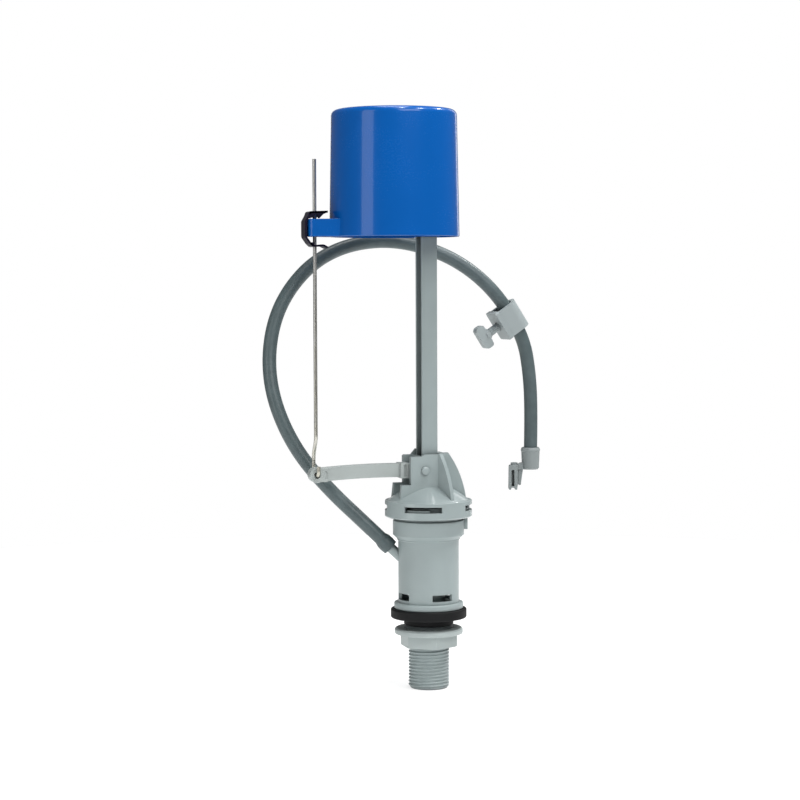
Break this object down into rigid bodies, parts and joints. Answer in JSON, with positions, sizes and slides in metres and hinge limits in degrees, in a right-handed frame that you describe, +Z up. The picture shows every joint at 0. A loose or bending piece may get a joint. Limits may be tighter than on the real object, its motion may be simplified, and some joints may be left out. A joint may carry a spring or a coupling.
{
  "type": "toilet fill valve",
  "caption": "Float-operated toilet fill valve: threaded shank, casing, float cup on a guide post linked to a pivoted lever, and a refill hose with pinch clamp.",
  "frame": {"origin": "on the valve axis, in the plane where the gasket seats on the tank floor", "axes": "+Z up along the shank, -X towards the float lever, -Y the front"},
  "size_m": [0.1636, 0.0865, 0.3142],
  "materials": {
    "casing_plastic": "satin moulded, grey-green",
    "cap_plastic": "satin moulded, grey-green",
    "lever_plastic": "satin moulded, pale grey",
    "nut_plastic": "satin moulded, pale grey",
    "washer_plastic": "matt, dark grey",
    "float_plastic": "glossy moulded, blue",
    "black_rubber": "matt moulded rubber",
    "hose_rubber": "smooth extruded, dark grey-green",
    "rod_steel": "drawn wire, passivated",
    "clip_steel": "dark blue-black spring steel",
    "clamp_plastic": "satin moulded, grey",
    "screen_plastic": "matt, off-white"
  },
  "bodies": {
    "valve": {"inlet_shank": "casing_plastic", "valve_casing": "casing_plastic", "inlet_screen": "screen_plastic", "flow_restrictor": "screen_plastic", "valve_seat": "screen_plastic", "diaphragm": "black_rubber", "diaphragm_stiffener": "screen_plastic", "tank_gasket": "black_rubber", "refill_hose": "hose_rubber", "hose_clamp": "clamp_plastic", "hose_connector": "clamp_plastic", "overflow_hanger": "clamp_plastic"},
    "head": {"cap": "cap_plastic", "guide_post": "cap_plastic", "lever_pin": "cap_plastic", "plunger_packing": "black_rubber"},
    "lever": {"lever_arm": "lever_plastic"},
    "rod": {"link_rod": "rod_steel"},
    "float": {"float_cup": "float_plastic", "level_clip": "clip_steel"},
    "plunger": {"plunger": "screen_plastic"},
    "washer": {"friction_washer": "washer_plastic"},
    "nut": {"lock_nut": "nut_plastic"},
    "shoe": {"clamp_shoe": "clamp_plastic"},
    "thumbscrew": {"clamp_screw": "clamp_plastic"}
  },
  "joints": [
    {"name": "cap_twist", "type": "hinge", "parent": "valve", "child": "head", "pos_m": [0, 0, 0.06], "axis": [0, 0, 1], "range_deg": [0, 16]},
    {"name": "rod_lift", "type": "slide", "parent": "head", "child": "rod", "axis": [0, 0, 1], "range_m": [0, 0.01]},
    {"name": "lever_pivot", "type": "hinge", "parent": "head", "child": "lever", "pos_m": [-0.0044, 0, 0.0808], "axis": [0, 1, 0], "range_deg": [0, 9.9]},
    {"name": "plunger_press", "type": "slide", "parent": "head", "child": "plunger", "axis": [0, 0, -1], "range_m": [0, 0.00077]},
    {"name": "level_adjust", "type": "slide", "parent": "rod", "child": "float", "axis": [0, 0, 1], "range_m": [-0.095, 0.025]},
    {"name": "washer_drop", "type": "slide", "parent": "valve", "child": "washer", "axis": [0, 0, -1], "range_m": [0, 0.02]},
    {"name": "nut_turn", "type": "hinge", "parent": "washer", "child": "nut", "pos_m": [0, 0, -0.0106], "axis": [0, 0, 1], "range_deg": [-3970, 0]},
    {"name": "shoe_back_off", "type": "slide", "parent": "valve", "child": "shoe", "axis": [-0.832, -0.0893, -0.5476], "range_m": [0, 0.0016]},
    {"name": "thumbscrew_turn", "type": "hinge", "parent": "shoe", "child": "thumbscrew", "pos_m": [0.06165, 0.0438, 0.16215], "axis": [-0.832, -0.0893, -0.5476], "range_deg": [0, 721]}
  ],
  "couplings": [
    {"joint": "lever_pivot", "follows": "rod_lift", "rad_per_m": 17.241},
    {"joint": "plunger_press", "follows": "rod_lift", "ratio": 0.07586},
    {"joint": "nut_turn", "follows": "washer_drop", "rad_per_m": -3463.7},
    {"joint": "thumbscrew_turn", "follows": "shoe_back_off", "rad_per_m": 7854}
  ]
}
